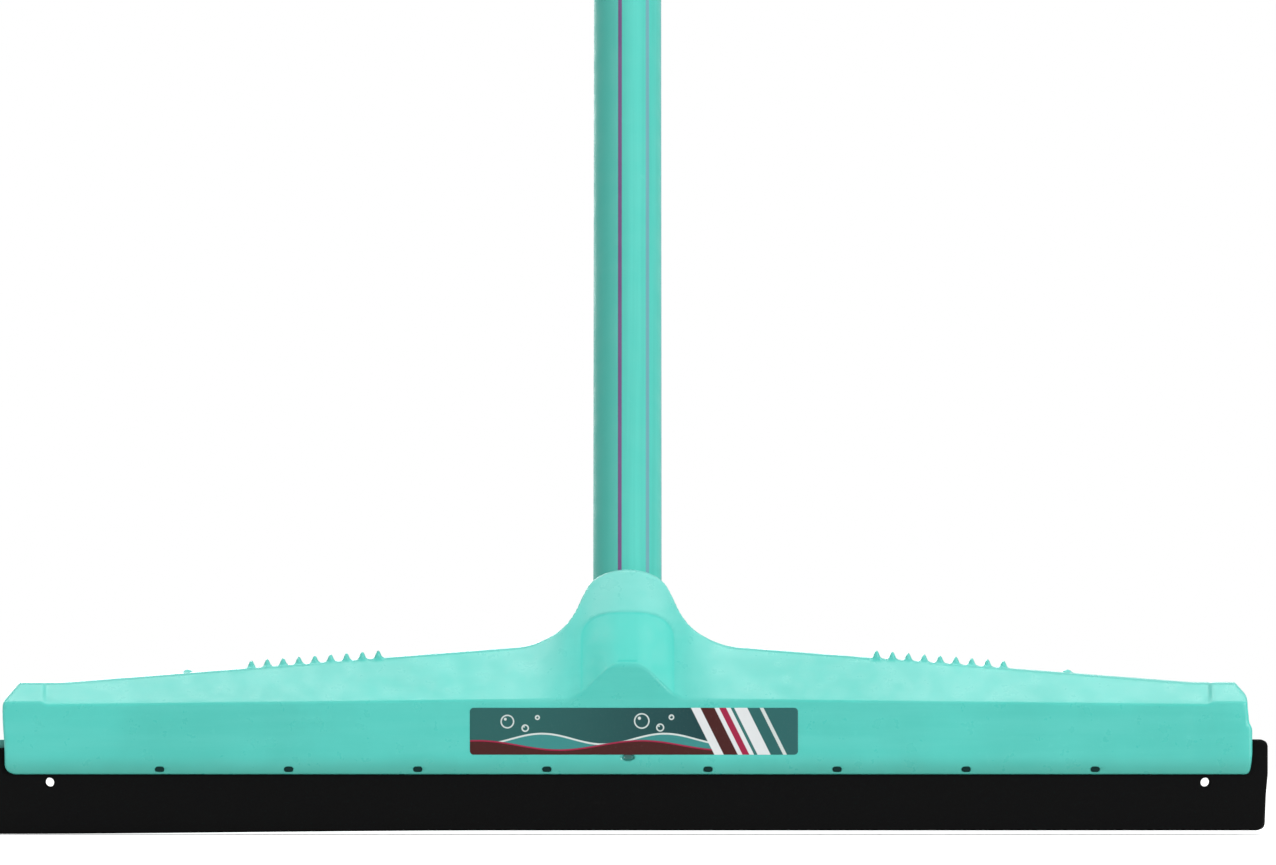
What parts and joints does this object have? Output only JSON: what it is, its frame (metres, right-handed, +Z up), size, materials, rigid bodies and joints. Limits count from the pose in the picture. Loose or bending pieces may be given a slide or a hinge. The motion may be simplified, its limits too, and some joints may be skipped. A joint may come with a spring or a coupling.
{
  "type": "floor squeegee",
  "caption": "Floor squeegee with a moulded plastic head, twin black foam blades and a long film-covered steel tube handle pushed into a tilted socket.",
  "frame": {"origin": "floor line under the middle of the head, midway between the two blades' lower edges", "axes": "+X along the head, +Y to the side the handle leans to, +Z up"},
  "size_m": [0.41, 0.8, 0.9841],
  "materials": {
    "head_plastic": "semi-matte moulded polypropylene, turquoise",
    "spacer_plastic": "matte extruded plastic, turquoise",
    "blade_foam": "fine closed-cell foam rubber, black",
    "pin_steel": "blackened steel",
    "label_paper": "printed coated paper, plain blocks of colour",
    "tube_steel": "thin drawn steel",
    "handle_film": "smooth plastic film with thin mauve stripes",
    "cap_plastic": "semi-matte moulded polypropylene, turquoise"
  },
  "bodies": {
    "head": {"head_body": "head_plastic", "front_blade_root": "blade_foam", "rear_blade_root": "blade_foam", "blade_spacer": "spacer_plastic", "blade_pins": "pin_steel", "label": "label_paper"},
    "handle": {"handle_tube": "tube_steel", "handle_sleeve": "handle_film", "hang_cap": "cap_plastic"},
    "front_lip": {"front_blade_lip": "blade_foam"},
    "rear_lip": {"rear_blade_lip": "blade_foam"}
  },
  "joints": [
    {"name": "handle_pull", "type": "slide", "parent": "head", "child": "handle", "axis": [0, 0.6428, 0.766], "range_m": [0, 0.05]},
    {"name": "front_lip_flex", "type": "hinge", "parent": "head", "child": "front_lip", "pos_m": [0, -0.00725, 0.01495], "axis": [1, 0, 0], "range_deg": [-25, 25], "stiffness_Nm_per_rad": 0.6},
    {"name": "rear_lip_flex", "type": "hinge", "parent": "head", "child": "rear_lip", "pos_m": [0, 0.00725, 0.01495], "axis": [1, 0, 0], "range_deg": [-25, 25], "stiffness_Nm_per_rad": 0.6}
  ],
  "couplings": [
    {"joint": "rear_lip_flex", "follows": "front_lip_flex", "ratio": 1}
  ]
}
